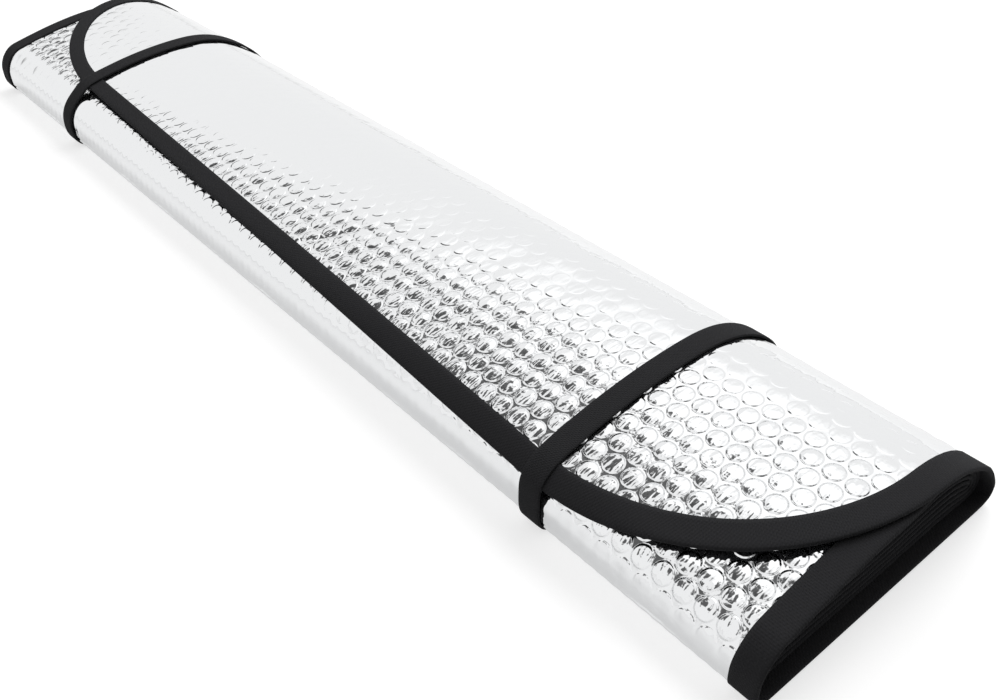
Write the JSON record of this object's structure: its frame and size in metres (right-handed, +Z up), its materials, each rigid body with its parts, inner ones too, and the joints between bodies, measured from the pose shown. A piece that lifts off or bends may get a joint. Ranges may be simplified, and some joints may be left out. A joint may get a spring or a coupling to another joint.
{
  "type": "windscreen sunshade",
  "caption": "Bubble-foil windscreen sunshade with a bound black edge, rolled flat and held for storage by two elastic loops.",
  "frame": {"origin": "middle of the footprint, on the surface that the rolled sunshade lies on", "axes": "+X along the roll towards the end with strap_near; +Y across the roll, away from the flap's free edge; +Z up"},
  "size_m": [0.7, 0.1632, 0.05],
  "materials": {
    "bubble_foil": "bright metallised film, quilted with small air bubbles",
    "woven_tape": "matte black woven tape",
    "elastic": "matte black woven elastic"
  },
  "bodies": {
    "root": {"shade_panel": "bubble_foil", "edge_binding": "woven_tape", "strap_near": "elastic", "strap_far": "elastic"}
  },
  "joints": []
}
